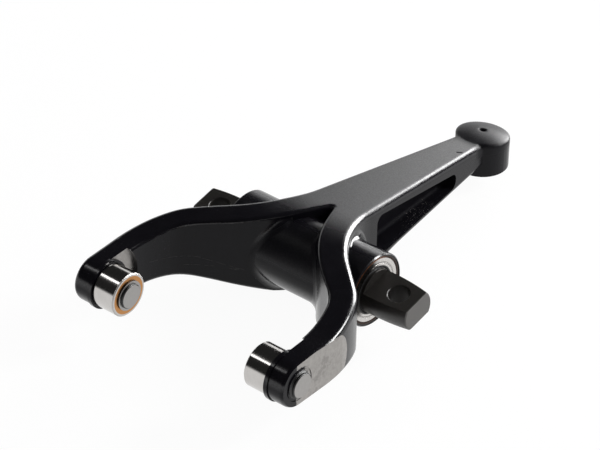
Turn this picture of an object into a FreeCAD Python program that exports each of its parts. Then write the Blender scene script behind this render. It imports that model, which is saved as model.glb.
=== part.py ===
import FreeCAD, Part
import math, os

# Clutch release fork with its pivot shaft and thrust rollers. Millimetres.
# Origin: centre of the pivot shaft. +X along the shaft, +Y towards the lever end, +Z up.
V = FreeCAD.Vector
X_AXIS, Y_AXIS, Z_AXIS = V(1, 0, 0), V(0, 1, 0), V(0, 0, 1)

# clearances that every fit is tied to
RUN_FIT = 0.03            # radial running clearance of a plain bearing
SIDE_PLAY = 0.3           # axial clearance of a turning piece
HIDDEN_GAP = 0.5          # room behind a lip or a shoulder

# pivot shaft
SHAFT_R = 15.0
SHAFT_HALF = 89.5
SHAFT_END_R = 13.2        # radius the drilled ends taper down to
TAPER_START = 64.0
FLAT_HALF = 8.2           # half thickness across the two flats
FLAT_START = 56.0
FLAT_TILT = 12.9          # the flats lean back by this angle, degrees
BOLT_X = 75.0
BOLT_R = 7.05
END_ROUND = 1.2
GRIP_CHAMFER = 0.6

# hub tube of the fork
HUB_R = 25.5
HUB_HALF = 55.0
HUB_CHAMFER = 0.8
CUP_R = 24.4              # counterbore at each hub end
CUP_DEPTH = 5.0
SLEEVE_R = 18.0           # bore that takes the bush sleeve
BUSH_LENGTH = 30.0
BUSH_FLANGE = 1.5
BUSH_RIM = 1.8
RIM_STEP = 0.5            # the bush rim stops this far inside the hub end
SEAL_LIP_R = 17.0
SEAL_T = 2.6
LIP_REACH = 1.1

# rollers, bushes and pins
ROLLER_Y, ROLLER_Z = -113.2, 5.9
ROLLER_R = 15.0
ROLLER_IN = 54.1
ROLLER_OUT = 71.1
ROLLER_EDGE = 0.7
ROLLER_BORE_R = 13.2
PIN_R = 9.5
PIN_NOSE_R = 8.5
PIN_LIP_R = 10.3
PIN_LIP_T = 0.8
PIN_IN = 51.4
PIN_OUT = 89.0
PIN_CHAMFER = 0.6
BUSH_EDGE = 0.4

# fork arms
TIP_R = 16.0
ARM_FACE_IN = 73.2        # milled face behind the roller collar
ARM_FACE_OUT = 86.2       # milled outer flat
SPOT_R = 26.0
COLLAR_R = 16.8
MILL_R = 16.5
MILL_BACK_Y = -78.7
MILL_Z = 5.4
GROOVE_R = 11.6
GROOVE_W = 0.9
GROOVE_D = 0.6
OUTER_EDGE_R = 4.5
INNER_EDGE_R = 2.5
LOWER_EDGE_R = 2.5
BLEND_OUT_R = 7.0         # blend between hub tube and outer walls
BLEND_IN_R = 8.0          # blend between hub tube and inner walls
BLEND_MIN = 0.9
BLEND_SINK = 0.08
BLEND_ROOT = 1.0
BLEND_EPS = 0.001
BLEND_STEPS = 16
TOP_AT_HUB = 31.0
BLEND_OUT_SPAN = (95, -95)
BLEND_IN_SPAN = (100, 262)
WALL_SEARCH = 260.0
WALL_HALVINGS = 30
LOW_AT_HUB = 30.2

# plan of one side: outer wall from the lever end, inner wall from the notch, both to the tip.
# A step is (length, None) for a straight run or (turn in degrees, radius) for a tangent arc.
LEVER_END = (10.6, 180.0)
LEVER_TAPER = 4.8
OUTER_STEPS = ((146.8, None), (44.0, 81.4), (22.9, None), (-19.8, 43.6), (-29.0, 88.3), (60.0, None))
NOTCH_START = (1.45, 21.4)
NOTCH_HALF_ANGLE = 22.0
INNER_STEPS = ((17.6, None), (30.5, 103.6), (16.3, None), (-32.4, 31.6), (-20.1, 102.8), (60.0, None))

BLANK_HALF_X, BLANK_HALF_Z = 100.0, 50.0
BLANK_END_Y = 200.0
RIM_EPS = 0.01

# side outline of the forging, both lines drawn from the tip towards the lever end
TOP_LEAN = 2.9
TOP_STEPS = ((20.0, None), (4.8, 286.0), (34.4, None), (-16.0, 199.0), (182.0, None))
LOW_STEPS = ((30.0, None), (-21.7, 126.0), (21.2, None), (38.0, 52.0), (13.7, None), (-12.7, 210.0),
             (132.0, None))


# lever
LEVER_HALF_HUB = 23.4
LEVER_TAPER_Y0 = 30.0
LEVER_HALF_END = 10.6
LEVER_TAPER_Y1 = 180.0
WEB_HALF = 5.0
POCKET = ((42.0, 20.0), (137.0, 2.9), (137.0, -8.2), (42.0, -13.6))
POCKET_CORNER_R = 5.5
POCKET_FLOOR_R = 3.0

# lever end
BOSS_Y = 185.0
BOSS_R = 18.7
BOSS_LOW = -18.2
BOSS_EDGE_Z = 4.6
DOME_R = 60.0
DOME_RISE = 3.4
DOME_TILT = 8.3
BOSS_EDGE_R = 1.6
SOCKET_R = 10.5
SOCKET_DEPTH = 13.0
SOCKET_CHAMFER = 1.5
VENT_R = 2.0


def cyl_x(radius, x0, x1, y=0.0, z=0.0):
    """Cylinder along X between two stations."""
    return Part.makeCylinder(radius, x1 - x0, V(x0, y, z), X_AXIS)


def cone_x(r0, r1, x0, x1, y=0.0, z=0.0):
    """Cone along X."""
    return Part.makeCone(r0, r1, x1 - x0, V(x0, y, z), X_AXIS)


def mirrored(shape):
    return shape.mirror(V(0, 0, 0), X_AXIS)


def chain(start, heading, steps):
    """Chain of tangent lines and arcs as [start, middle, end] corner pairs; middle is None on a line."""
    a, b = start
    lean = math.radians(heading)
    pieces = []
    for amount, radius in steps:
        if radius is None:
            middle = None
            end = (a + math.cos(lean) * amount, b + math.sin(lean) * amount)
        else:
            turn = math.radians(amount)
            side = math.copysign(radius, turn)
            centre = (a - side * math.sin(lean), b + side * math.cos(lean))
            swept = [(centre[0] + side * math.sin(lean + t), centre[1] - side * math.cos(lean + t))
                     for t in (turn / 2, turn)]
            middle, end = swept
            lean += turn
        pieces.append(((a, b), middle, end))
        a, b = end
    return pieces


def plan_edges(pieces, side=1):
    """Edges of a chain laid in plan; side -1 mirrors it."""
    place = lambda p: V(side * p[0], p[1], 0)
    return [edge_of(place, piece) for piece in pieces]


def side_edges(pieces):
    """Edges of a chain laid in the side view."""
    place = lambda p: V(0, p[0], p[1])
    return [edge_of(place, piece) for piece in pieces]


def edge_of(place, piece):
    start, middle, end = piece
    if middle is None:
        return Part.makeLine(place(start), place(end))
    return Part.Arc(place(start), place(middle), place(end)).toShape()


def turned(profile, centre=V(0, 0, 0)):
    """Solid turned about the X direction from (x, r) corners."""
    points = [V(x, r, 0) for x, r in profile]
    face = Part.Face(Part.makePolygon(points + [points[0]]))
    ring = face.revolve(V(0, 0, 0), X_AXIS, 360)
    ring.translate(centre)
    return ring


def side_profile():
    """Side outline of lever and arms with the round tip, as a closed face."""
    lean = math.radians(TOP_LEAN)
    top_start = (ROLLER_Y - TIP_R * math.sin(lean), ROLLER_Z + TIP_R * math.cos(lean))
    top = chain(top_start, TOP_LEAN, TOP_STEPS)
    low = chain((ROLLER_Y, ROLLER_Z - TIP_R), 0, LOW_STEPS)
    tip_back = V(0, ROLLER_Y - TIP_R, ROLLER_Z)
    round_tip = Part.Arc(V(0, *top_start), tip_back, V(0, *low[0][0])).toShape()
    close = Part.makeLine(V(0, *top[-1][2]), V(0, *low[-1][2]))
    return Part.Face(Part.Wire(Part.__sortEdges__(side_edges(top) + side_edges(low) + [round_tip, close])))


def outer_chain():
    return chain(LEVER_END, LEVER_TAPER - 90, OUTER_STEPS)


def inner_chain():
    return chain(NOTCH_START, NOTCH_HALF_ANGLE - 90, INNER_STEPS)


def plan_outline():
    """Plan of lever and arms as a closed face."""
    outer, inner = outer_chain(), inner_chain()
    half_angle = math.radians(NOTCH_HALF_ANGLE)
    root_r = NOTCH_START[0] / math.cos(half_angle)
    root_y = NOTCH_START[1] - root_r * math.sin(half_angle) + root_r
    root = Part.Arc(V(*NOTCH_START, 0), V(0, root_y, 0), V(-NOTCH_START[0], NOTCH_START[1], 0)).toShape()
    edges = [root, Part.makeLine(V(-LEVER_END[0], LEVER_END[1], 0), V(*LEVER_END, 0))]
    for side in (1, -1):
        tip_out = V(side * outer[-1][2][0], outer[-1][2][1], 0)
        tip_in = V(side * inner[-1][2][0], inner[-1][2][1], 0)
        edges += plan_edges(outer, side) + plan_edges(inner, side) + [Part.makeLine(tip_out, tip_in)]
    return Part.Face(Part.Wire(Part.__sortEdges__(edges)))


def forging_blank():
    """Lever and both arms: the plan outline crossed with the side outline."""
    tall = plan_outline().extrude(V(0, 0, 2 * BLANK_HALF_Z))
    tall.translate(V(0, 0, -BLANK_HALF_Z))
    wide = side_profile().extrude(V(2 * BLANK_HALF_X, 0, 0))
    wide.translate(V(-BLANK_HALF_X, 0, 0))
    return tall.common(wide)


def rims(shape, inner):
    """The upper and lower edges of the inner or of the outer walls."""
    inside = Part.Wire(Part.__sortEdges__(plan_edges(inner_chain())))
    outside = Part.Wire(Part.__sortEdges__(plan_edges(outer_chain())))
    picked = []
    for edge in shape.Edges:
        box = edge.BoundBox
        upright = max(box.XLength, box.YLength) < RIM_EPS
        across = max(box.YLength, box.ZLength) < RIM_EPS
        if upright or across or box.YMin > LEVER_END[1] - RIM_EPS:
            continue
        mid = edge.valueAt((edge.FirstParameter + edge.LastParameter) / 2)
        spot = Part.Vertex(abs(mid.x), mid.y, 0)
        is_inner = inside.distToShape(spot)[0] < outside.distToShape(spot)[0]
        if is_inner == inner:
            picked.append(edge)
    return picked


def rounded_blank():
    """Forging with its rims rounded."""
    blank = forging_blank()
    blank = blank.makeFillet(INNER_EDGE_R, rims(blank, True))
    return blank.makeFillet(OUTER_EDGE_R, rims(blank, False))


def pocket(side):
    """Tool for the long pocket in one side of the lever."""
    corners = [V(0, y, z) for y, z in POCKET]
    outline = Part.Face(Part.makePolygon(corners + [corners[0]]))
    tool = outline.extrude(V(BLANK_HALF_X, 0, 0))
    tool.translate(V(WEB_HALF, 0, 0))
    uprights = [e for e in tool.Edges if e.BoundBox.XLength > BLANK_HALF_X / 2]
    tool = tool.makeFillet(POCKET_CORNER_R, uprights)
    floor = [e for e in tool.Edges if e.BoundBox.XMax < WEB_HALF + 0.1]
    tool = tool.makeFillet(POCKET_FLOOR_R, floor)
    return tool if side > 0 else mirrored(tool)


def lever_boss():
    """Round lever end with its domed and sloping top."""
    boss = Part.makeCylinder(BOSS_R, 2 * BOSS_R, V(0, BOSS_Y, BOSS_LOW))
    lean = math.radians(DOME_TILT)
    top = V(0, BOSS_Y, BOSS_EDGE_Z + DOME_RISE)
    centre = top - V(0, math.sin(lean), math.cos(lean)) * DOME_R
    boss = boss.common(Part.makeSphere(DOME_R, centre))
    rims = [e for e in boss.Edges if e.CenterOfMass.z > BOSS_LOW + 1 and e.Length > BOSS_R * 3]
    return boss.makeFillet(BOSS_EDGE_R, rims)


def socket_and_vent():
    """Ball socket for the push rod, with the small hole through the dome above it."""
    middle_z = BOSS_LOW + SOCKET_DEPTH - SOCKET_R
    socket = Part.makeSphere(SOCKET_R, V(0, BOSS_Y, middle_z))
    socket = socket.fuse(Part.makeCylinder(SOCKET_R, middle_z - BOSS_LOW + 1, V(0, BOSS_Y, BOSS_LOW - 1)))
    lead = Part.makeCone(SOCKET_R + 2 * SOCKET_CHAMFER, SOCKET_R, 2 * SOCKET_CHAMFER,
                         V(0, BOSS_Y, BOSS_LOW - SOCKET_CHAMFER))
    vent = Part.makeCylinder(VENT_R, 2 * BOSS_R, V(0, BOSS_Y, middle_z))
    return socket.fuse([lead, vent])


def hub_tube():
    profile = ((-HUB_HALF, 0), (-HUB_HALF, HUB_R - HUB_CHAMFER), (-HUB_HALF + HUB_CHAMFER, HUB_R),
               (HUB_HALF - HUB_CHAMFER, HUB_R), (HUB_HALF, HUB_R - HUB_CHAMFER), (HUB_HALF, 0))
    return turned(profile)


def hub_bores():
    tools = [cyl_x(SLEEVE_R, -2 * HUB_HALF, 2 * HUB_HALF)]
    cup = cyl_x(CUP_R, HUB_HALF - CUP_DEPTH, 2 * HUB_HALF)
    return tools + [cup, mirrored(cup)]


def tip_tools():
    """Cuts in one arm tip: spot face round the collar, outer flat, pin hole, staking groove."""
    y, z = ROLLER_Y, ROLLER_Z
    spot = cyl_x(SPOT_R, ARM_FACE_IN - BLANK_HALF_X / 2, ARM_FACE_IN, y, z)
    collar = cyl_x(COLLAR_R, ROLLER_OUT + SIDE_PLAY, ARM_FACE_IN, y, z)
    path = Part.makeBox(BLANK_HALF_X, MILL_BACK_Y - -BLANK_END_Y, 2 * MILL_R,
                        V(ARM_FACE_OUT, -BLANK_END_Y, MILL_Z - MILL_R))
    turn = cyl_x(MILL_R, ARM_FACE_OUT, 2 * BLANK_HALF_X, MILL_BACK_Y, MILL_Z)
    groove = cyl_x(GROOVE_R, ARM_FACE_OUT - GROOVE_D, BLANK_HALF_X, y, z)
    groove = groove.cut(cyl_x(GROOVE_R - GROOVE_W, 0, BLANK_HALF_X, y, z))
    hole = cyl_x(PIN_R, 0, BLANK_HALF_X, y, z)
    return [spot.cut(collar), path.fuse(turn), groove, hole]


def roller_collar():
    """Raised collar on the inner side of an arm tip, behind the roller."""
    return cyl_x(COLLAR_R, ROLLER_OUT + SIDE_PLAY, ARM_FACE_IN + 1, ROLLER_Y, ROLLER_Z)


def along(pieces, distance):
    """Point and left-hand normal at a distance along a chain."""
    for start, middle, end in pieces:
        edge = edge_of(lambda p: V(p[0], p[1], 0), (start, middle, end))
        if distance <= edge.Length:
            break
        distance -= edge.Length
    u = edge.getParameterByLength(min(distance, edge.Length))
    point, tangent = edge.valueAt(u), edge.tangentAt(u)
    if tangent.dot(V(end[0] - start[0], end[1] - start[1], 0)) < 0:
        point, tangent = edge.valueAt(edge.getParameterByLength(edge.Length - distance)), -tangent
    return point, V(-tangent.y, tangent.x, 0)


def wall_spot(pieces, sense, y, radius):
    """Wall point whose normal, taken one radius out of the wall, reaches the given y."""
    low, high = 0.0, WALL_SEARCH
    for _ in range(WALL_HALVINGS):
        mid = (low + high) / 2
        point, normal = along(pieces, mid)
        if point.y + normal.y * sense * radius > y:
            low = mid
        else:
            high = mid
    point, normal = along(pieces, (low + high) / 2)
    return point, normal * sense


def blend_section(pieces, sense, turn, radius):
    """Section of the concave blend where a ball touches both the hub tube and the wall."""
    away = V(0, math.cos(turn), math.sin(turn))
    centre = away * (HUB_R + radius)
    point, normal = wall_spot(pieces, sense, centre.y, radius)
    centre.x = point.x + normal.x * radius
    on_wall = centre - normal * (radius + BLEND_SINK)
    on_tube = centre - away * (radius + BLEND_SINK)
    bisector = normal + away
    root = centre - bisector * (radius / (1 + normal.dot(away)) + BLEND_ROOT)
    middle = centre - V(bisector).normalize() * radius
    arc = Part.Arc(on_wall, middle, on_tube).toShape()
    return Part.Wire([arc, Part.makeLine(on_tube, root), Part.makeLine(root, on_wall)])


def blend_radius(turn, wanted, crest, foot):
    """Ball radius that keeps the touch line between the rounded rims of the wall."""
    height = math.sin(turn)
    room = (crest if height > 0 else foot) / max(abs(height), RIM_EPS) - HUB_R
    return max(BLEND_MIN, min(wanted, room))


def hub_blend(pieces, sense, first, last, wanted, edge_r):
    """Swept concave blend between the hub tube and a wall, from one turn angle to another."""
    sections = []
    for step in range(BLEND_STEPS + 1):
        turn = math.radians(first + (last - first) * step / BLEND_STEPS)
        radius = blend_radius(turn, wanted, TOP_AT_HUB - edge_r, LOW_AT_HUB - edge_r)
        sections.append(blend_section(pieces, sense, turn, radius))
    return Part.makeLoft(sections, True, False)


def hub_blends():
    """Blends outside the arms behind the hub tube, and inside them in front of it."""
    outer = hub_blend(outer_chain(), 1, *BLEND_OUT_SPAN, BLEND_OUT_R, OUTER_EDGE_R)
    inner = hub_blend(inner_chain(), -1, *BLEND_IN_SPAN, BLEND_IN_R, INNER_EDGE_R)
    return [outer, mirrored(outer), inner, mirrored(inner)]


def cut_all(body, tools):
    for tool in tools:
        body = body.cut(tool)
    return body


def fork_body():
    """The one-piece forging with all its machining."""
    body = rounded_blank().fuse(hub_tube())
    for piece in hub_blends() + [lever_boss(), roller_collar(), mirrored(roller_collar())]:
        body = body.fuse(piece)
    for tool in tip_tools():
        body = cut_all(body, [tool, mirrored(tool)])
    return cut_all(body, hub_bores() + [pocket(1), pocket(-1), socket_and_vent()])


def report(shape, name):
    print(name, shape.isValid(), len(shape.Solids), round(shape.Volume), len(shape.Faces))


def shaft_round():
    """Round shaft with slightly barrelled ends and rounded corners."""
    drop = SHAFT_R - SHAFT_END_R
    reach = SHAFT_HALF - END_ROUND - TAPER_START
    barrel_r = (reach ** 2 + drop ** 2) / (2 * drop)
    half_turn = math.asin(reach / barrel_r) / 2
    swell = V(TAPER_START + barrel_r * math.sin(half_turn),
              SHAFT_R - barrel_r * (1 - math.cos(half_turn)), 0)
    shoulder, corner = V(TAPER_START, SHAFT_R, 0), V(SHAFT_HALF - END_ROUND, SHAFT_END_R, 0)
    nose = V(SHAFT_HALF, SHAFT_END_R - END_ROUND, 0)
    bend = V(nose.x - END_ROUND * (1 - math.cos(math.pi / 4)),
             corner.y - END_ROUND * (1 - math.sin(math.pi / 4)), 0)
    edges = [
        Part.makeLine(V(0, 0, 0), V(0, SHAFT_R, 0)), Part.makeLine(V(0, SHAFT_R, 0), shoulder),
        Part.Arc(shoulder, swell, corner).toShape(), Part.Arc(corner, bend, nose).toShape(),
        Part.makeLine(nose, V(SHAFT_HALF, 0, 0)), Part.makeLine(V(SHAFT_HALF, 0, 0), V(0, 0, 0)),
    ]
    return Part.Face(Part.Wire(Part.__sortEdges__(edges))).revolve(V(0, 0, 0), X_AXIS, 360)


def pivot_shaft():
    """Cross shaft: round in the bushes, flatted and drilled at both ends."""
    shaft = shaft_round()
    wide = 3 * SHAFT_R
    for low_side in (FLAT_HALF, -FLAT_HALF - wide):
        shaft = shaft.cut(Part.makeBox(SHAFT_HALF, wide, wide, V(FLAT_START, -wide / 2, low_side)))
    bolt = Part.makeCylinder(BOLT_R, wide, V(BOLT_X, 0, -wide / 2))
    lead = Part.makeCone(BOLT_R, BOLT_R + 2 * GRIP_CHAMFER, 2 * GRIP_CHAMFER,
                         V(BOLT_X, 0, FLAT_HALF - GRIP_CHAMFER))
    shaft = cut_all(shaft, [bolt, lead, lead.mirror(V(0, 0, 0), Z_AXIS)])
    shaft.rotate(V(0, 0, 0), X_AXIS, FLAT_TILT)
    return shaft.fuse(mirrored(shaft)).removeSplitter()


def hub_bush():
    """Bronze bush: sleeve, flange in the counterbore and a thin rim that reaches outwards."""
    inner = HUB_HALF - CUP_DEPTH
    bore = SHAFT_R + RUN_FIT
    rim_end = HUB_HALF - RIM_STEP
    profile = ((inner - BUSH_LENGTH, bore), (inner - BUSH_LENGTH, SLEEVE_R), (inner, SLEEVE_R),
               (inner, CUP_R), (rim_end, CUP_R), (rim_end, CUP_R - BUSH_RIM),
               (inner + BUSH_FLANGE, CUP_R - BUSH_RIM), (inner + BUSH_FLANGE, bore + BUSH_EDGE),
               (inner + BUSH_FLANGE - BUSH_EDGE, bore))
    return turned(profile)


def shaft_seal():
    """Steel-cased dust seal pressed into the cup of the bush."""
    x0 = HUB_HALF - CUP_DEPTH + BUSH_FLANGE
    profile = ((x0, SEAL_LIP_R), (x0, CUP_R - BUSH_RIM), (x0 + SEAL_T - BUSH_EDGE, CUP_R - BUSH_RIM),
               (x0 + SEAL_T, CUP_R - BUSH_RIM - BUSH_EDGE), (x0 + SEAL_T, SEAL_LIP_R))
    return turned(profile)


def seal_lip():
    """Rubber lip of the seal, running on the shaft."""
    x0 = HUB_HALF - CUP_DEPTH + BUSH_FLANGE
    bore = SHAFT_R + RUN_FIT
    top = x0 + SEAL_T
    profile = ((x0, bore + BUSH_EDGE), (x0, SEAL_LIP_R), (top, SEAL_LIP_R), (top, bore + LIP_REACH),
               (top - LIP_REACH / 2, bore + LIP_REACH / 2), (top, bore + BUSH_EDGE / 2),
               (top, bore), (top - LIP_REACH, bore))
    return turned(profile)


def at_roller(shape):
    shape.translate(V(0, ROLLER_Y, ROLLER_Z))
    return shape


def roller():
    e, i, o = ROLLER_EDGE, ROLLER_IN, ROLLER_OUT
    profile = ((i, ROLLER_BORE_R), (i, ROLLER_R - e), (i + e, ROLLER_R), (o - e, ROLLER_R),
               (o, ROLLER_R - e), (o, ROLLER_BORE_R))
    return at_roller(turned(profile))


def roller_bush():
    e, i, o, bore = BUSH_EDGE, ROLLER_IN, ROLLER_OUT, PIN_R + RUN_FIT
    profile = ((i + e, bore), (i, bore + e), (i, ROLLER_BORE_R), (o, ROLLER_BORE_R), (o, bore + e),
               (o - e, bore))
    return at_roller(turned(profile))


def roller_pin():
    """Pin with a rolled lip that keeps the roller on; its outer end stands proud of the arm."""
    lip_out = ROLLER_IN - SIDE_PLAY
    lip_in = lip_out - PIN_LIP_T
    c = PIN_CHAMFER
    profile = ((PIN_IN, 0), (PIN_IN, PIN_NOSE_R - c), (PIN_IN + c, PIN_NOSE_R), (lip_in, PIN_NOSE_R),
               (lip_in, PIN_LIP_R), (lip_out, PIN_LIP_R), (lip_out, PIN_R), (ARM_FACE_OUT, PIN_R),
               (ARM_FACE_OUT + c, PIN_R - c), (ARM_FACE_OUT + 2 * c, PIN_NOSE_R), (PIN_OUT - c, PIN_NOSE_R),
               (PIN_OUT, PIN_NOSE_R - c), (PIN_OUT, 0))
    return at_roller(turned(profile))


def pair(name, shape):
    return {name + "_right": shape, name + "_left": mirrored(shape)}


def all_parts():
    parts = {"fork_body": fork_body(), "pivot_shaft": pivot_shaft()}
    for name, maker in (("hub_bush", hub_bush), ("shaft_seal", shaft_seal), ("seal_lip", seal_lip),
                        ("roller", roller), ("roller_bush", roller_bush), ("roller_pin", roller_pin)):
        parts.update(pair(name, maker()))
    return parts


os.makedirs("parts", exist_ok=True)
for part_name, part_shape in all_parts().items():
    report(part_shape, part_name)
    part_shape.exportStep("parts/" + part_name + ".step")
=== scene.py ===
"""Looks of the clutch release fork: a painted forging on a black oxide shaft, with polished rollers.

Lengths are in metres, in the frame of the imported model: +X to the right arm, +Y to the lever's end, +Z up.
"""

import math

import bpy
from mathutils import Matrix, Vector


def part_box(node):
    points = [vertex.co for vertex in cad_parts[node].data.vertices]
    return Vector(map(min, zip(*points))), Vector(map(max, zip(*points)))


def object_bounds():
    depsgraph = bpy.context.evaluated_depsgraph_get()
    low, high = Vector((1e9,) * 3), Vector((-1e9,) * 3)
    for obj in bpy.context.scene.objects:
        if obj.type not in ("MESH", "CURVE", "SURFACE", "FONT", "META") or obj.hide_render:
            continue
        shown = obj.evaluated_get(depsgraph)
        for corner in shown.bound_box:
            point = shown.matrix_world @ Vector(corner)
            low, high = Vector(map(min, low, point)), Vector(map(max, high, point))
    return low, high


MM = 0.001
SIDES = ("right", "left")

# Camera: stands in front of the fork on the right arm's side, far away with a long lens.
CAMERA_PLACE = (1.0537, -1.3011, 1.1829)
CAMERA_AZIMUTH = -39.22
CAMERA_ELEVATION = 34.66
CAMERA_ROLL = 1.16
SENSOR_WIDTH = 36.0
LENS = 190.6
CLIP_START, CLIP_END = 0.1, 50.0

# Floor.
FLOOR_SIZE = 12.0
FLOOR_TONE = 0.8
FLOOR_ROUGHNESS = 0.9
FLOOR_GLOW = 1.05
FLOOR_GLOW_SHARE = 0.90

# World. Its light is FILL_LEVEL; gloss sees a white horizon, a dark ceiling and the windows instead.
# Heights and sides are parts of a direction of length 1.
FILL_LEVEL = 0.30
SKY_DARK = 0.02
SKY_DARK_FROM = 0.18
BACK_LEFT_WHITE_TO = 0.24
BACK_LEFT_DARK_FROM = 0.40
BACK_LEFT_SIDE = (-0.35, -0.15)
BACK_LEFT_AHEAD = (0.0, 0.2)
WINDOW_SOFT = 3.0
WINDOWS = (
    # direction, half angle in degrees, brightness
    ((0.57, 0.64, 0.52), 4.0, 15.0),
    ((0.00, 0.95, 0.27), 15.0, 16.0),
)

# Lamps: a large softbox behind the lever, a strong small one beside it and a strip in front.
LAMPS = (
    # name, place, point that it faces, width, height, brightness
    ("back_left", (-0.36, 1.66, 0.64), (0.0, 0.1, 0.0), 1.1, 0.55, 4.5),
    ("back_right", (0.93, 1.25, 0.90), (0.0, 0.0, 0.0), 0.55, 0.45, 22.0),
    ("front_strip", (-0.83, -0.59, 1.23), (0.0, -0.1, 0.0), 0.5, 0.14, 3.4),
)

# Most of a noise's values lie in this range.
NOISE_RANGE = (0.3, 0.7)

# In the values below, a pair is the range over which a mask fades, unless it says something else.

# Machined faces of the fork, where the steel is bare. The milled pass has a round end behind the pin.
PAINT_EDGE = 0.25 * MM
SQUARE_ON = (0.90, 0.97)
MILL_FACE = 86.2 * MM
MILL_PAST = (MILL_FACE + 0.02 * MM, MILL_FACE + 0.05 * MM)
MILL_DEEP = (MILL_FACE - 2.3 * MM, MILL_FACE - 2.1 * MM)
MILL_ROUND_Y = -87.3 * MM
MILL_ROUND_Z = 4.1 * MM
MILL_ROUND_R = 22.0 * MM
MILL_ROUND_EDGE = (MILL_ROUND_R + PAINT_EDGE, MILL_ROUND_R + 2 * PAINT_EDGE)
SPOT_FACE = 73.2 * MM
SPOT_FACE_OFF = (0.05 * MM, 0.15 * MM)
SPOT_EDGE = (25.7 * MM, 26.1 * MM)

# Dark patch over the milled flat, where the flat keeps the paint's look: in front of the pin, and round it
# below a slanting line.
DARK_PATCH_WANDER = 2 * MM
DARK_PATCH_FRONT = (-3 * MM, -2 * MM)
DARK_PATCH_RING = (11.6 * MM, 12.2 * MM)
DARK_PATCH_SLANT = (-5 * MM, -3 * MM)

# Lever, pockets, boss and hub of the fork.
LEVER_END_Y = 180 * MM
LEVER_END_HALF = 10.6 * MM
LEVER_SLOPE = math.tan(math.radians(4.8))
LEVER_TOP_FROM = (-15 * MM, 15 * MM)
FACING_TOP = (0.93, 0.98)
POCKET_START, POCKET_END = (30 * MM, 40 * MM), (150 * MM, 155 * MM)
POCKET_DEEP = (0.8 * MM, 2.0 * MM)
POCKET_TOP_SLOPE = 0.14
POCKET_TOP = (-3 * MM, 0.0)
BOSS_ROOT_Y = 166 * MM
BOSS_ROOT_R = 3.5 * MM
BOSS_ROOT_FROM, BOSS_ROOT_ABOVE = (BOSS_ROOT_Y - 10 * MM, BOSS_ROOT_Y), (-4 * MM, 2 * MM)
BOSS_FROM, BOSS_ABOVE = (BOSS_ROOT_Y - 6 * MM, BOSS_ROOT_Y), (-2 * MM, 0.0)
BEVEL_SAMPLES = 12
VENT_Y = 185 * MM
VENT_DARK = (2.5 * MM, 2.8 * MM)
TUBE_RADII = (26.0 * MM, 27.5 * MM)
TUBE_BEFORE, TUBE_ABOVE = (-8 * MM, -2 * MM), (0.0, 10 * MM)
TUBE_DULL = 0.6

# Small marks. A scratch of the left arm is its start and end (y, z) on the side view, and its width.
LEVER_NICK = ((6.1 * MM, 147.7 * MM, 10.6 * MM), (8.3 * MM, 150.0 * MM, 10.4 * MM))
LEVER_NICK_WIDTH = 0.9 * MM
HOLLOW_DEPTH = 0.3 * MM
ARM_SCRATCHES = (
    ((-56.2 * MM, 25.2 * MM), (-39.1 * MM, 28.0 * MM), 0.5 * MM),
    ((-39.1 * MM, 28.0 * MM), (-21.5 * MM, 28.9 * MM), 0.5 * MM),
    ((-77.1 * MM, 5.5 * MM), (-47.0 * MM, 1.0 * MM), 0.3 * MM),
    ((-49.0 * MM, 1.6 * MM), (-28.5 * MM, -8.7 * MM), 0.3 * MM),
    ((-56.4 * MM, -4.6 * MM), (-41.1 * MM, -5.7 * MM), 0.3 * MM),
    ((-35.1 * MM, -7.7 * MM), (-31.7 * MM, -7.8 * MM), 0.8 * MM),
)
SCRATCH_SHARE = 0.055
SCRATCH_WORN = (0.40, 0.55)
LEFT_OF = (-2 * MM, -MM)
SPECK_GRAIN = (0.66, 0.70)
SPECK_START, SPECK_END = (78 * MM, 88 * MM), (104 * MM, 116 * MM)
SPECK_BELOW = (-8 * MM, -7 * MM)
SPECK_FACING_UP = (0.5, 0.8)

# Shaft, bushes, seals and rollers.
BOLT_X = 75 * MM
BOLT_R = 7.05 * MM
BOLT_TILT = math.radians(12.9)
BOLT_BORE_EDGE = (BOLT_R + 0.1 * MM, BOLT_R + 0.2 * MM)
SHAFT_END_DEPTHS = (1.0 * MM, 0.15 * MM)
BUSH_PAINTED = (23.7 * MM, 24.0 * MM)
BUSH_RAGGED = 0.5 * MM
# Painted highlight on the hub bush: its bronze is bright above the first range and before the second.
BUSH_HIGHLIGHT_ABOVE, BUSH_HIGHLIGHT_BEFORE = (10 * MM, 16 * MM), (4 * MM, 12 * MM)
# Painted dark reflection of the arm on the seal: where y is before the first range and z above the second.
SEAL_REFLECTION_BEFORE, SEAL_REFLECTION_ABOVE = (-6 * MM, 5 * MM), (-15 * MM, -9 * MM)
SEAL_GROOVE_R = 19.0 * MM
SEAL_GROOVE_WIDTHS = (0.3 * MM, 0.7 * MM)
SEAL_GROOVE_DEPTH = 0.25 * MM
# Share of painted shade in the seal's groove.
SEAL_GROOVE_SHADE_SHARE = 0.55
PIN_END_FACING = (0.90, 0.98)
EDGE_FACING_FROM, EDGE_FACING_TO = (0.15, 0.35), (0.90, 0.98)


# --- colours: a pair is the darkest and the palest of a mottled tone -----------------------------------


def grey(value, warm=0.0):
    """A grey colour; warm above 0 leans to brown."""
    return (value * (1 + warm), value, value * (1 - warm), 1.0)


PAINT_TONES = ((0.0045, 0.0040, 0.0060, 1.0), (0.0085, 0.0080, 0.0110, 1.0))
MARK_TONE = grey(0.45, 0.04)
MILLED_TONES = (grey(0.24, 0.045), grey(0.45, 0.045))
MILLED_BLOTCH_TONE = grey(0.10, 0.06)
OXIDE_TONES = (grey(0.012, 0.12), grey(0.026, 0.12))
SAWN_TONES = (grey(0.09, 0.05), grey(0.15, 0.05))
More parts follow.
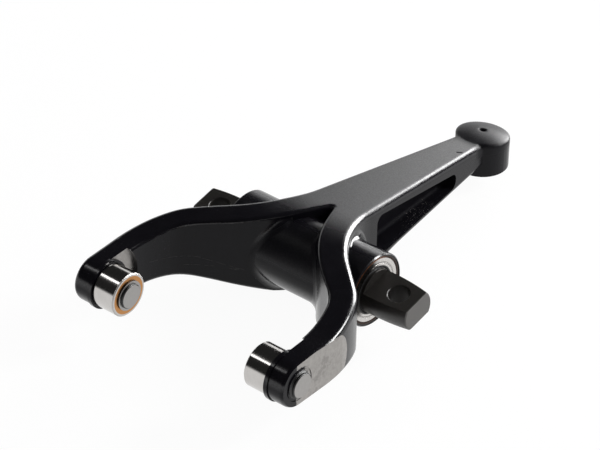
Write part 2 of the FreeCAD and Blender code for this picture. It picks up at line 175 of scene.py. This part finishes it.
# Hub bush: the bright bronze of the painted highlight, and the dark bronze elsewhere.
HUB_HIGHLIGHT_BRONZE_TONES = ((0.05, 0.022, 0.012, 1.0), (0.36, 0.13, 0.05, 1.0))
HUB_DARK_BRONZE_TONES = ((0.020, 0.012, 0.010, 1.0), (0.07, 0.040, 0.030, 1.0))
BUSH_PAINT_TONE = grey(0.008)
ROLLER_BRONZE_TONES = ((0.42, 0.186, 0.0605, 1.0), (0.60, 0.30, 0.11, 1.0))
SEAL_TONES = (grey(0.45, 0.04), grey(0.74, 0.03))
# Painted shade in the seal's groove.
SEAL_GROOVE_SHADE_TONE = grey(0.22, 0.05)
# Painted dark reflection of the arm on the seal's case.
ARM_REFLECTION_TONES = (grey(0.012, 0.1), grey(0.05, 0.1))
RUBBER_TONES = (grey(0.012), grey(0.022))
ROLLER_TONES = (grey(0.46, 0.03), grey(0.60, 0.03))
PIN_END_TONES = (grey(0.27, 0.03), grey(0.42, 0.03))
# Painted shade on the pin's staked rim and side.
PIN_SHADED_RIM_TONES = (grey(0.05), grey(0.10))


# --- shine: specular levels, metalness and roughness, with the ranges that they fade over --------------


PAINT_IOR = 1.5
PAINT_GRAIN = (0.25, 0.75)
PAINT_SHINE = (0.38, 0.62)
WALL_SHINE = 0.16
WALL_FACING_FROM, WALL_FACING_TO = (-0.40, -0.10), (0.05, 0.35)
BOSS_SHINE_SHARE = 0.42
DULL_SHINE = 0.05
SHAFT_SHINE = 0.5
BORE_SHINE = 0.1
PAINT_ROUGHNESS = (0.15, 0.22)
TOP_ROUGHNESS = 0.36
DULL_ROUGHNESS = 0.6
MILLED_ROUGHNESS = (0.34, 0.50)
MILLED_BLOTCH = (0.56, 0.66)
MILLED_BLOTCH_SHARE = 0.3
OXIDE_ROUGHNESS = (0.34, 0.48)
HUB_BUSH_METAL = 0.9
HUB_BUSH_ROUGHNESS = (0.34, 0.50)
ROLLER_BUSH_ROUGHNESS = (0.288, 0.432)
SEAL_ROUGHNESS = (0.22, 0.36)
RUBBER_ROUGHNESS = (0.45, 0.60)
ROLLER_LINES = (0.35, 0.65)
ROLLER_ROUGHNESS = (0.11, 0.16)
ROLLER_EDGE_ROUGHNESS = 0.55
PIN_END_ROUGHNESS = (0.28, 0.42)
PIN_RIM_ROUGHNESS = 0.5

# Depths of the surface's relief.
FORGED_DEPTH = 0.022 * MM
WAVE_DEPTH = 0.10 * MM
OXIDE_DEPTH = 0.02 * MM
HUB_BUSH_DEPTH = 0.03 * MM
ROLLER_BUSH_DEPTH = 0.015 * MM
RUBBER_DEPTH = 0.02 * MM
ROLLER_DEPTH = 0.0007 * MM
PIN_DEPTH = 0.006 * MM

# Noises: features a metre, detail and roughness.
RAGGED_NOISE = (900.0, 2.0)
WAVE_NOISE = (35.0, 2.0)
FORGED_NOISE = (480.0, 3.0, 0.5)
GRAIN_NOISE = (1100.0, 1.0)
PAINT_NOISE = (160.0,)
WEAR_NOISE = (400.0, 3.0)
SPECK_NOISE = (1300.0, 2.0)
MILLED_NOISE = (330.0, 6.0, 0.7)
BLOTCH_NOISE = (110.0, 4.0)
OXIDE_NOISE = (700.0, 5.0, 0.65)
HUB_BUSH_NOISE = (450.0, 5.0, 0.65)
PAINT_RUN_NOISE = (700.0, 2.0)
ROLLER_BUSH_NOISE = (500.0, 4.0, 0.6)
SEAL_NOISE = (500.0, 5.0, 0.65)
RUBBER_NOISE = (900.0, 3.0)
ROLLER_NOISE = (120.0, 3.0)
ROLLER_LINE_NOISE = (2600.0, 3.0, 0.6)
PIN_NOISE = (420.0, 5.0, 0.65)
PIN_RING_NOISE = (3200.0, 2.0, 0.5)


# --- node helpers -------------------------------------------------------------------------------------


class Tree:
    """Short calls that add nodes to a material and join them."""

    def __init__(self, owner):
        self.nodes = owner.node_tree.nodes
        self.links = owner.node_tree.links
        self.coordinates = None

    def add(self, kind, inputs=(), **settings):
        """Adds a node; inputs are {socket: value or output socket}."""
        node = self.nodes.new(kind)
        for name, value in settings.items():
            setattr(node, name, value)
        for socket, value in dict(inputs).items():
            self.put(node.inputs[socket], value)
        return node

    def put(self, socket, value):
        """Links an output to the socket, or gives it a plain value."""
        if isinstance(value, bpy.types.NodeSocket):
            self.links.new(value, socket)
        else:
            socket.default_value = value

    def fill(self, node, **sockets):
        """Gives each named socket its value or output; _ stands for a space in the name."""
        for name, value in sockets.items():
            self.put(node.inputs[name.replace("_", " ")], value)

    def coordinate(self, name):
        if self.coordinates is None:
            self.coordinates = self.add("ShaderNodeTexCoord")
        return self.coordinates.outputs[name]

    def place(self):
        """x, y and z in the frame's own metres, which turn with the piece."""
        return self.parts(self.coordinate("Object"))

    def facing(self):
        """x, y and z of the surface's direction, which turn with the piece."""
        return self.parts(self.coordinate("Normal"))

    def parts(self, vector):
        return self.add("ShaderNodeSeparateXYZ", {0: vector}).outputs[:]

    def joined(self, x, y, z):
        return self.add("ShaderNodeCombineXYZ", {0: x, 1: y, 2: z}).outputs[0]

    def math(self, operation, a, b=0.0):
        return self.add("ShaderNodeMath", {0: a, 1: b}, operation=operation).outputs[0]

    def plus(self, a, b):
        return self.math("ADD", a, b)

    def minus(self, a, b):
        return self.math("SUBTRACT", a, b)

    def size(self, value):
        """The value without its sign."""
        return self.math("ABSOLUTE", value)

    def both(self, a, b):
        """The product: a mask where both masks are 1, or a share of one."""
        return self.math("MULTIPLY", a, b)

    def either(self, a, b):
        return self.math("MAXIMUM", a, b)

    def outside(self, mask):
        return self.minus(1.0, mask)

    def vector(self, operation, a, b=(0, 0, 0)):
        node = self.add("ShaderNodeVectorMath", {0: a, 1: b}, operation=operation)
        return node.outputs["Value" if operation in ("LENGTH", "DOT_PRODUCT", "DISTANCE") else "Vector"]

    def radius(self, a, b):
        """The distance of (a, b) from 0."""
        return self.vector("LENGTH", self.joined(a, b, 0.0))

    def noise(self, scale, detail=3.0, roughness=0.55, place=None):
        """Noise from 0 to 1, scale in features a metre."""
        inputs = {"Vector": place or self.coordinate("Object"), "Scale": scale}
        inputs |= {"Detail": detail, "Roughness": roughness}
        return self.add("ShaderNodeTexNoise", inputs).outputs["Fac"]

    def step(self, value, start, end, low, high):
        """Goes smoothly from low to high as value goes from start to end."""
        inputs = {"Value": value, "From Min": start, "From Max": end, "To Min": low, "To Max": high}
        node = self.add("ShaderNodeMapRange", inputs, interpolation_type="SMOOTHSTEP")
        return node.outputs["Result"]

    def above(self, value, fade):
        """1 where value is past the range, 0 before it."""
        return self.step(value, *fade, 0.0, 1.0)

    def below(self, value, fade):
        """1 where value is before the range, 0 past it."""
        return self.step(value, *fade, 1.0, 0.0)

    def between(self, value, rise, fall):
        """1 between the two ranges."""
        return self.both(self.above(value, rise), self.below(value, fall))

    def vary(self, noise, ends):
        """A number that follows the noise from one end to the other."""
        return self.step(noise, *NOISE_RANGE, *ends)

    def mix(self, share, a, b):
        """Colour a where share is 0 and b where it is 1."""
        return self.add("ShaderNodeMix", {0: share, 6: a, 7: b}, data_type="RGBA").outputs[2]

    def blend(self, share, a, b):
        """Number a where share is 0 and b where it is 1."""
        return self.add("ShaderNodeMix", {0: share, 2: a, 3: b}, data_type="FLOAT").outputs[0]

    def bump(self, height, depth, under=None):
        """A relief of that depth in metres where height goes from 0 to 1."""
        inputs = {"Strength": 1.0, "Distance": depth, "Height": height}
        if under is not None:
            inputs["Normal"] = under
        return self.add("ShaderNodeBump", inputs).outputs[0]


def new_material(name, **shader_values):
    """A material, its node tree and its Principled shader."""
    material = bpy.data.materials.new(name)
    material.use_nodes = True
    tree = Tree(material)
    shader = tree.nodes["Principled BSDF"]
    tree.fill(shader, **shader_values)
    return material, tree, shader


def stroke(tree, place, start, end, width):
    """1 on a thin line from start to end on the surface, 0 away from it."""
    run = Vector(end) - Vector(start)
    from_start = tree.vector("SUBTRACT", place, tuple(start))
    share = tree.math("DIVIDE", tree.vector("DOT_PRODUCT", from_start, tuple(run)), run.length_squared)
    clamped = tree.add("ShaderNodeClamp", {0: share}).outputs[0]
    along = tree.add("ShaderNodeVectorMath", {0: tuple(run), "Scale": clamped}, operation="SCALE")
    away = tree.vector("DISTANCE", from_start, along.outputs[0])
    return tree.below(away, (width / 2, width))


# --- masks of the fork --------------------------------------------------------------------------------


def roller_axis():
    """y and z of the axis that the rollers and their pins share, from a roller's box."""
    low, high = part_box("roller_right")
    middle = (low + high) / 2
    return middle.y, middle.z


def milled_mask(tree, ragged):
    """1 on the milled outer flats, up to a ragged round end."""
    x, y, z = tree.place()
    out = tree.size(x)
    behind = tree.either(tree.minus(y, MILL_ROUND_Y), 0.0)
    height = tree.both(tree.minus(z, MILL_ROUND_Z), tree.above(behind, (0.0, MM)))
    edge = tree.plus(tree.radius(behind, height), tree.both(ragged, 2 * PAINT_EDGE))
    in_pass = tree.below(edge, MILL_ROUND_EDGE)
    return tree.both(in_pass, tree.between(out, MILL_DEEP, MILL_PAST))


def dark_patch_mask(tree, axis, ragged):
    """1 on the dark patches of the milled flats, which keep the paint's look."""
    _, y, z = tree.place()
    from_pin_y, from_pin_z = tree.minus(y, axis[0]), tree.minus(z, axis[1])
    wander = tree.both(tree.minus(ragged, 0.5), DARK_PATCH_WANDER)
    front = tree.below(tree.plus(from_pin_y, wander), DARK_PATCH_FRONT)
    near_pin = tree.below(tree.plus(tree.radius(from_pin_y, from_pin_z), wander), DARK_PATCH_RING)
    under_slant = tree.below(tree.minus(from_pin_y, from_pin_z), DARK_PATCH_SLANT)
    return tree.either(front, tree.both(near_pin, under_slant))


def spot_face_mask(tree, axis):
    """1 on the milled inner faces, round the rollers' axis."""
    x, y, z = tree.place()
    off_axis = tree.radius(tree.minus(y, axis[0]), tree.minus(z, axis[1]))
    off_plane = tree.size(tree.minus(tree.size(x), SPOT_FACE))
    return tree.both(tree.below(off_axis, SPOT_EDGE), tree.below(off_plane, SPOT_FACE_OFF))


def bare_steel_mask(tree, axis, ragged):
    """1 on the machined faces at the arm tips that the paint and the dark patches leave bare."""
    milled = tree.both(milled_mask(tree, ragged), tree.outside(dark_patch_mask(tree, axis, ragged)))
    square_on = tree.above(tree.size(tree.facing()[0]), SQUARE_ON)
    return tree.both(tree.either(milled, spot_face_mask(tree, axis)), square_on)


def scratch_mask(tree):
    """1 on the scratches of the left arm, drawn on its side view."""
    x, y, z = tree.place()
    side_view = tree.joined(0.0, y, z)
    lines = 0.0
    for start, end, width in ARM_SCRATCHES:
        line = stroke(tree, side_view, (0.0, *start), (0.0, *end), width)
        lines = tree.either(lines, line)
    worn = tree.above(tree.noise(*WEAR_NOISE), SCRATCH_WORN)
    return tree.both(tree.both(lines, worn), tree.below(x, LEFT_OF))


def speck_mask(tree):
    """1 on the pale specks of the pockets' floors."""
    _, y, z = tree.place()
    grains = tree.above(tree.noise(*SPECK_NOISE), SPECK_GRAIN)
    in_row = tree.both(tree.between(y, SPECK_START, SPECK_END), tree.below(z, SPECK_BELOW))
    return tree.both(tree.both(grains, in_row), tree.above(tree.facing()[2], SPECK_FACING_UP))


def pocket_mask(tree):
    """1 inside the lever's side pockets, behind its tapering walls."""
    x, y, z = tree.place()
    beyond = tree.minus(LEVER_END_Y, y)
    wall = tree.plus(tree.both(beyond, LEVER_SLOPE), LEVER_END_HALF)
    deep = tree.above(tree.minus(wall, tree.size(x)), POCKET_DEEP)
    below_top = tree.above(tree.minus(tree.both(beyond, POCKET_TOP_SLOPE), z), POCKET_TOP)
    return tree.both(tree.both(deep, tree.between(y, POCKET_START, POCKET_END)), below_top)


def hollow_mask(tree):
    """1 in the nick on the lever and at the vent hole's edge."""
    x, y, _ = tree.place()
    nick = stroke(tree, tree.coordinate("Object"), *LEVER_NICK, LEVER_NICK_WIDTH)
    vent = tree.below(tree.radius(x, tree.minus(y, VENT_Y)), VENT_DARK)
    return tree.either(nick, vent)


def dull_mask(tree, hollow):
    """How far the paint is dull: in the hollows and pockets, and on the hub tube between the arms."""
    _, y, z = tree.place()
    tube = tree.both(tree.below(tree.radius(y, z), TUBE_RADII), tree.below(y, TUBE_BEFORE))
    tube = tree.both(tree.both(tube, tree.above(z, TUBE_ABOVE)), TUBE_DULL)
    return tree.either(tree.either(hollow, pocket_mask(tree)), tube)


# --- materials ----------------------------------------------------------------------------------------


def painted_tone(tree):
    """Black paint with pale scratches and specks."""
    marks = tree.either(tree.both(scratch_mask(tree), SCRATCH_SHARE), speck_mask(tree))
    return tree.mix(marks, tree.mix(tree.noise(*PAINT_NOISE), *PAINT_TONES), MARK_TONE)


def milled_tone(tree):
    """Bare milled steel with darker blotches."""
    blotch = tree.above(tree.noise(*BLOTCH_NOISE), MILLED_BLOTCH)
    paler = tree.mix(tree.noise(*MILLED_NOISE), *MILLED_TONES)
    return tree.mix(tree.both(blotch, MILLED_BLOTCH_SHARE), paler, MILLED_BLOTCH_TONE)


def paint_shine(tree, bare, dull, on_boss):
    """The paint's specular level: grainy, lower on upright walls and lowest where it is dull."""
    wall = tree.both(tree.between(tree.facing()[2], WALL_FACING_FROM, WALL_FACING_TO), tree.outside(bare))
    grain = tree.step(tree.noise(*GRAIN_NOISE), *PAINT_GRAIN, *PAINT_SHINE)
    grain = tree.blend(on_boss, grain, tree.both(grain, BOSS_SHINE_SHARE))
    return tree.blend(dull, tree.blend(wall, grain, WALL_SHINE), DULL_SHINE)


def paint_relief(tree, waves, hollow):
    """The forging's skin under waves of paint, with the hollows and a softened crease at the boss."""
    _, y, z = tree.place()
    at_root = tree.both(tree.above(y, BOSS_ROOT_FROM), tree.above(z, BOSS_ROOT_ABOVE))
    crease = tree.add("ShaderNodeBevel", {"Radius": tree.both(at_root, BOSS_ROOT_R)}, samples=BEVEL_SAMPLES)
    skin = tree.bump(tree.noise(*FORGED_NOISE), FORGED_DEPTH, crease.outputs[0])
    return tree.bump(hollow, -HOLLOW_DEPTH, tree.bump(waves, WAVE_DEPTH, skin))


def paint_material(axis):
    """Gloss black paint over a forged skin, with the machined faces at the arm tips left bare."""
    material, tree, shader = new_material("fork_paint", IOR=PAINT_IOR)
    _, y, z = tree.place()
    ragged = tree.noise(*RAGGED_NOISE)
    waves = tree.noise(*WAVE_NOISE)
    bare = bare_steel_mask(tree, axis, ragged)
    hollow = hollow_mask(tree)
    dull = dull_mask(tree, hollow)
    on_boss = tree.both(tree.above(y, BOSS_FROM), tree.above(z, BOSS_ABOVE))
    on_top = tree.both(tree.above(tree.facing()[2], FACING_TOP), tree.above(y, LEVER_TOP_FROM))
    gloss = tree.blend(tree.either(on_top, on_boss), tree.vary(waves, PAINT_ROUGHNESS), TOP_ROUGHNESS)
    paint_rough = tree.blend(dull, gloss, DULL_ROUGHNESS)
    tree.fill(
        shader,
        Base_Color=tree.mix(bare, painted_tone(tree), milled_tone(tree)),
        Metallic=bare,
        Specular_IOR_Level=paint_shine(tree, bare, dull, on_boss),
        Roughness=tree.blend(bare, paint_rough, tree.vary(ragged, MILLED_ROUGHNESS)),
        Normal=paint_relief(tree, waves, hollow),
    )
    return material


def shaft_material():
    """Matte black oxide on the pivot shaft, with its sawn ends paler and its bolt bores duller."""
    material, tree, shader = new_material("black_oxide")
    x, y, z = tree.place()
    out = tree.size(x)
    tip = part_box("pivot_shaft")[1].x
    at_end = tree.above(out, [tip - depth for depth in SHAFT_END_DEPTHS])
    across = tree.plus(tree.both(y, math.cos(BOLT_TILT)), tree.both(z, math.sin(BOLT_TILT)))
    in_bore = tree.below(tree.radius(tree.minus(out, BOLT_X), across), BOLT_BORE_EDGE)
    spots = tree.noise(*OXIDE_NOISE)
    tree.fill(
        shader,
        Base_Color=tree.mix(at_end, tree.mix(spots, *OXIDE_TONES), tree.mix(spots, *SAWN_TONES)),
        Specular_IOR_Level=tree.blend(in_bore, SHAFT_SHINE, BORE_SHINE),
        Roughness=tree.vary(spots, OXIDE_ROUGHNESS),
        Normal=tree.bump(spots, OXIDE_DEPTH),
    )
    return material


def hub_bush_material():
    """Rusty dark bronze with a painted highlight at its upper front, and the fork's paint run over its outer
    edge.
    """
    material, tree, shader = new_material("hub_bronze")
    _, y, z = tree.place()
    spots = tree.noise(*HUB_BUSH_NOISE)
    ragged = tree.both(tree.noise(*PAINT_RUN_NOISE), BUSH_RAGGED)
    painted = tree.above(tree.plus(tree.radius(y, z), ragged), BUSH_PAINTED)
    # Painted highlight: bright bronze only on the upper front of the ring.
    paler = tree.both(tree.above(z, BUSH_HIGHLIGHT_ABOVE), tree.below(y, BUSH_HIGHLIGHT_BEFORE))
    bronze = tree.mix(paler, tree.mix(spots, *HUB_DARK_BRONZE_TONES), tree.mix(spots, *HUB_HIGHLIGHT_BRONZE_TONES))
    tree.fill(
        shader,
        Base_Color=tree.mix(painted, bronze, BUSH_PAINT_TONE),
        Metallic=tree.blend(painted, HUB_BUSH_METAL, 0.0),
        Roughness=tree.vary(spots, HUB_BUSH_ROUGHNESS),
        Normal=tree.bump(spots, HUB_BUSH_DEPTH),
    )
    return material


def roller_bush_material():
    """Turned bronze."""
    material, tree, shader = new_material("roller_bronze", Metallic=1.0)
    spots = tree.noise(*ROLLER_BUSH_NOISE)
    tree.fill(
        shader,
        Base_Color=tree.mix(spots, *ROLLER_BRONZE_TONES),
        Roughness=tree.vary(spots, ROLLER_BUSH_ROUGHNESS),
        Normal=tree.bump(spots, ROLLER_BUSH_DEPTH),
    )
    return material


def seal_material():
    """Bright pressed steel of the seal's case, darkened towards the arms by a painted reflection of the dark
    arm.
    """
    material, tree, shader = new_material("seal_steel", Metallic=1.0)
    _, y, z = tree.place()
    # Painted dark reflection of the arm: the case is darkened towards the arms.
    arm_reflection = tree.both(tree.below(y, SEAL_REFLECTION_BEFORE), tree.above(z, SEAL_REFLECTION_ABOVE))
    off_groove = tree.size(tree.minus(tree.radius(y, z), SEAL_GROOVE_R))
    groove = tree.below(off_groove, SEAL_GROOVE_WIDTHS)
    spots = tree.noise(*SEAL_NOISE)
    # Painted shade darkens the groove, besides its relief.
    pressed = tree.mix(tree.both(groove, SEAL_GROOVE_SHADE_SHARE), tree.mix(spots, *SEAL_TONES), SEAL_GROOVE_SHADE_TONE)
    tree.fill(
        shader,
        Base_Color=tree.mix(arm_reflection, pressed, tree.mix(spots, *ARM_REFLECTION_TONES)),
        Roughness=tree.vary(spots, SEAL_ROUGHNESS),
        Normal=tree.bump(groove, -SEAL_GROOVE_DEPTH),
    )
    return material


def rubber_material():
    """Dull black rubber."""
    material, tree, shader = new_material("seal_rubber")
    spots = tree.noise(*RUBBER_NOISE)
    tree.fill(
        shader,
        Base_Color=tree.mix(spots, *RUBBER_TONES),
        Roughness=tree.vary(spots, RUBBER_ROUGHNESS),
        Normal=tree.bump(spots, RUBBER_DEPTH),
    )
    return material


def roller_material():
    """Ground and polished steel, with fine lines round the roller and duller broken edges."""
    material, tree, shader = new_material("roller_steel", Metallic=1.0)
    x = tree.place()[0]
    lines = tree.noise(*ROLLER_LINE_NOISE, tree.joined(x, 0.0, 0.0))
    on_edge = tree.between(tree.size(tree.facing()[0]), EDGE_FACING_FROM, EDGE_FACING_TO)
    polish = tree.step(lines, *ROLLER_LINES, *ROLLER_ROUGHNESS)
    tree.fill(
        shader,
        Base_Color=tree.mix(tree.noise(*ROLLER_NOISE), *ROLLER_TONES),
        Roughness=tree.blend(on_edge, polish, ROLLER_EDGE_ROUGHNESS),
        Normal=tree.bump(lines, ROLLER_DEPTH),
    )
    return material


def pin_material(axis):
    """Turned steel pin: pale ringed end, and a staked rim and side darkened with painted shade."""
    material, tree, shader = new_material("pin_steel", Metallic=1.0)
    _, y, z = tree.place()
    off_axis = tree.radius(tree.minus(y, axis[0]), tree.minus(z, axis[1]))
    on_end = tree.above(tree.size(tree.facing()[0]), PIN_END_FACING)
    spots = tree.noise(*PIN_NOISE)
    rings = tree.noise(*PIN_RING_NOISE, tree.joined(off_axis, 0.0, 0.0))
    tree.fill(
        shader,
        # Painted shade: every face of the pin but its ends takes the dark rim tones.
        Base_Color=tree.mix(on_end, tree.mix(spots, *PIN_SHADED_RIM_TONES), tree.mix(spots, *PIN_END_TONES)),
        Roughness=tree.blend(on_end, PIN_RIM_ROUGHNESS, tree.vary(spots, PIN_END_ROUGHNESS)),
        Normal=tree.bump(rings, PIN_DEPTH),
    )
    return material


def dress(material, *nodes):
    """The named CAD nodes take that material."""
    for name in nodes:
        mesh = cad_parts[name].data
        mesh.materials.clear()
        mesh.materials.append(material)


def pair(name):
    """The names of the right and the left node."""
    return [f"{name}_{side}" for side in SIDES]


def dress_all():
    axis = roller_axis()
    dress(paint_material(axis), "fork_body")
    dress(shaft_material(), "pivot_shaft")
    dress(hub_bush_material(), *pair("hub_bush"))
    dress(seal_material(), *pair("shaft_seal"))
    dress(rubber_material(), *pair("seal_lip"))
    dress(roller_material(), *pair("roller"))
    dress(roller_bush_material(), *pair("roller_bush"))
    dress(pin_material(axis), *pair("roller_pin"))


# --- stage, light and camera --------------------------------------------------------------------------


def special_rays(tree):
    """1 for rays from the camera, and 1 for those that gloss or glass sends on."""
    path = tree.add("ShaderNodeLightPath").outputs
    return path["Is Camera Ray"], tree.either(path["Is Glossy Ray"], path["Is Transmission Ray"])


def floor_material():
    """A pale floor that shows white to the camera and to polished metal, but keeps the fork's shadow."""
    base = {"Base_Color": grey(FLOOR_TONE), "Roughness": FLOOR_ROUGHNESS}
    material, tree, shader = new_material("studio_floor", **base)
    seen = tree.either(*special_rays(tree))
    glow = tree.add("ShaderNodeEmission", {"Color": grey(1.0), "Strength": FLOOR_GLOW}).outputs[0]
    share = tree.both(seen, FLOOR_GLOW_SHARE)
    lit = tree.add("ShaderNodeMixShader", {0: share, 1: shader.outputs[0], 2: glow})
    tree.fill(tree.nodes["Material Output"], Surface=lit.outputs[0])
    return material


def make_floor(level):
    half = FLOOR_SIZE / 2
    mesh = bpy.data.meshes.new("floor")
    corners = [(-half, -half, level), (half, -half, level), (half, half, level), (-half, half, level)]
    mesh.from_pydata(corners, [], [(0, 1, 2, 3)])
    mesh.materials.append(floor_material())
    floor = bpy.data.objects.new("floor", mesh)
    bpy.context.scene.collection.objects.link(floor)


def window(tree, towards, direction, half_angle, brightness):
    """A round window of that brightness, seen in that direction."""
    inner, outer = (math.cos(math.radians(angle)) for angle in (half_angle, half_angle + WINDOW_SOFT))
    middle = tuple(Vector(direction).normalized())
    seen = tree.above(tree.vector("DOT_PRODUCT", towards, middle), (outer, inner))
    return tree.both(seen, brightness)


def make_world():
    """White to the camera; gloss sees a white horizon, a dark ceiling and the windows."""
    world = bpy.data.worlds.new("studio")
    bpy.context.scene.world = world
    world.use_nodes = True
    tree = Tree(world)
    towards = tree.coordinate("Generated")
    to_right, ahead, up = tree.parts(towards)
    low = tree.step(up, 0.0, SKY_DARK_FROM, 1.0, SKY_DARK)
    high = tree.step(up, BACK_LEFT_WHITE_TO, BACK_LEFT_DARK_FROM, 1.0, SKY_DARK)
    back_left = tree.both(tree.below(to_right, BACK_LEFT_SIDE), tree.above(ahead, BACK_LEFT_AHEAD))
    sky = tree.blend(back_left, low, high)
    for values in WINDOWS:
        sky = tree.plus(sky, window(tree, towards, *values))
    to_camera, to_gloss = special_rays(tree)
    level = tree.blend(to_camera, tree.blend(to_gloss, FILL_LEVEL, sky), 1.0)
    tree.fill(tree.nodes["Background"], Color=grey(1.0), Strength=level)


def softbox(name, place, target, width, height, brightness):
    """A rectangular lamp at place that faces target; its brightness is what a mirror would show."""
    data = bpy.data.lights.new(name, "AREA")
    data.shape = "RECTANGLE"
    data.size = width
    data.size_y = height
    data.energy = brightness * math.pi * width * height
    lamp = bpy.data.objects.new(name, data)
    lamp.location = place
    lamp.rotation_mode = "QUATERNION"
    lamp.rotation_quaternion = (Vector(target) - Vector(place)).to_track_quat("-Z", "Y")
    bpy.context.scene.collection.objects.link(lamp)


def make_camera():
    """The camera's axes come from its azimuth, elevation and roll."""
    azimuth = math.radians(CAMERA_AZIMUTH)
    elevation = math.radians(CAMERA_ELEVATION)
    roll = math.radians(CAMERA_ROLL)
    ahead = Vector((
        math.sin(azimuth) * math.cos(elevation),
        math.cos(azimuth) * math.cos(elevation),
        -math.sin(elevation),
    ))
    level_right = Vector((math.cos(azimuth), -math.sin(azimuth), 0))
    level_up = level_right.cross(ahead)
    right = math.cos(roll) * level_right + math.sin(roll) * level_up
    up = right.cross(ahead)
    data = bpy.data.cameras.new("camera")
    data.sensor_width = SENSOR_WIDTH
    data.lens = LENS
    data.clip_start = CLIP_START
    data.clip_end = CLIP_END
    camera = bpy.data.objects.new("camera", data)
    turned = Matrix((right, up, -ahead)).transposed().to_4x4()
    camera.matrix_world = Matrix.Translation(CAMERA_PLACE) @ turned
    bpy.context.scene.collection.objects.link(camera)
    bpy.context.scene.camera = camera


# --- the scene ----------------------------------------------------------------------------------------

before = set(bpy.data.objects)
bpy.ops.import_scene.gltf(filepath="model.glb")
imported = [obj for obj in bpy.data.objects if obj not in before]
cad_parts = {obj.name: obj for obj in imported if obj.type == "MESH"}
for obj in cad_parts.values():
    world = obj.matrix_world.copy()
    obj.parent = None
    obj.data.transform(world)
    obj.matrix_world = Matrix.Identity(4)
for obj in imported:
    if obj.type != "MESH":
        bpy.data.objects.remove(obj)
cad_box = [list(corner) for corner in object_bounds()]
make_camera()
dress_all()
make_floor(cad_box[0][2])
make_world()
for lamp_values in LAMPS:
    softbox(*lamp_values)
bpy.context.scene.view_settings.view_transform = "Standard"
